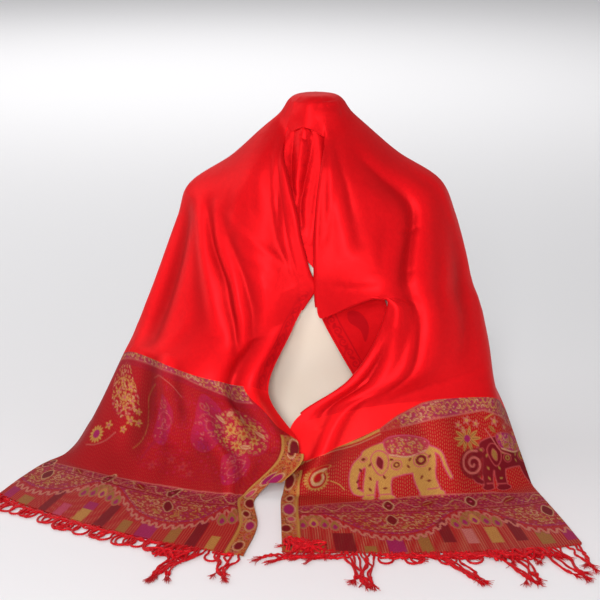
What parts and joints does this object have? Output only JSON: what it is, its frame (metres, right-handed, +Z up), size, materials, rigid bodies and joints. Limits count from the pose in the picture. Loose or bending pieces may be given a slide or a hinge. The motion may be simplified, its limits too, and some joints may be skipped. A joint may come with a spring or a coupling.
{
  "type": "pashmina shawl on a dress form",
  "caption": "Red silk-look shawl with woven, fringed ends, folded lengthwise and draped over a half-torso dress form, both ends lying on the table in front.",
  "frame": {"origin": "centre of the dress form's flat base, on the table", "axes": "+Z up, -Y towards the front of the wearer, where the shawl opens; +X is the picture's right"},
  "size_m": [0.812, 0.5811, 0.5261],
  "materials": {
    "red_silk": "satin weave with a soft sheen",
    "woven_end": "red ground with a gold, pink and purple jacquard weave",
    "fringe_cord": "twisted glossy yarn",
    "form_skin": "smooth cream, slightly glossy"
  },
  "bodies": {
    "root": {"neck_and_shoulders": "red_silk", "left_fall": "red_silk", "right_fall": "red_silk", "centre_panel": "red_silk", "right_selvedge_fold": "red_silk", "left_end": "woven_end", "right_end": "woven_end", "left_under_layer": "woven_end", "left_fringe": "fringe_cord", "right_fringe": "fringe_cord", "dress_form": "form_skin"}
  },
  "joints": []
}
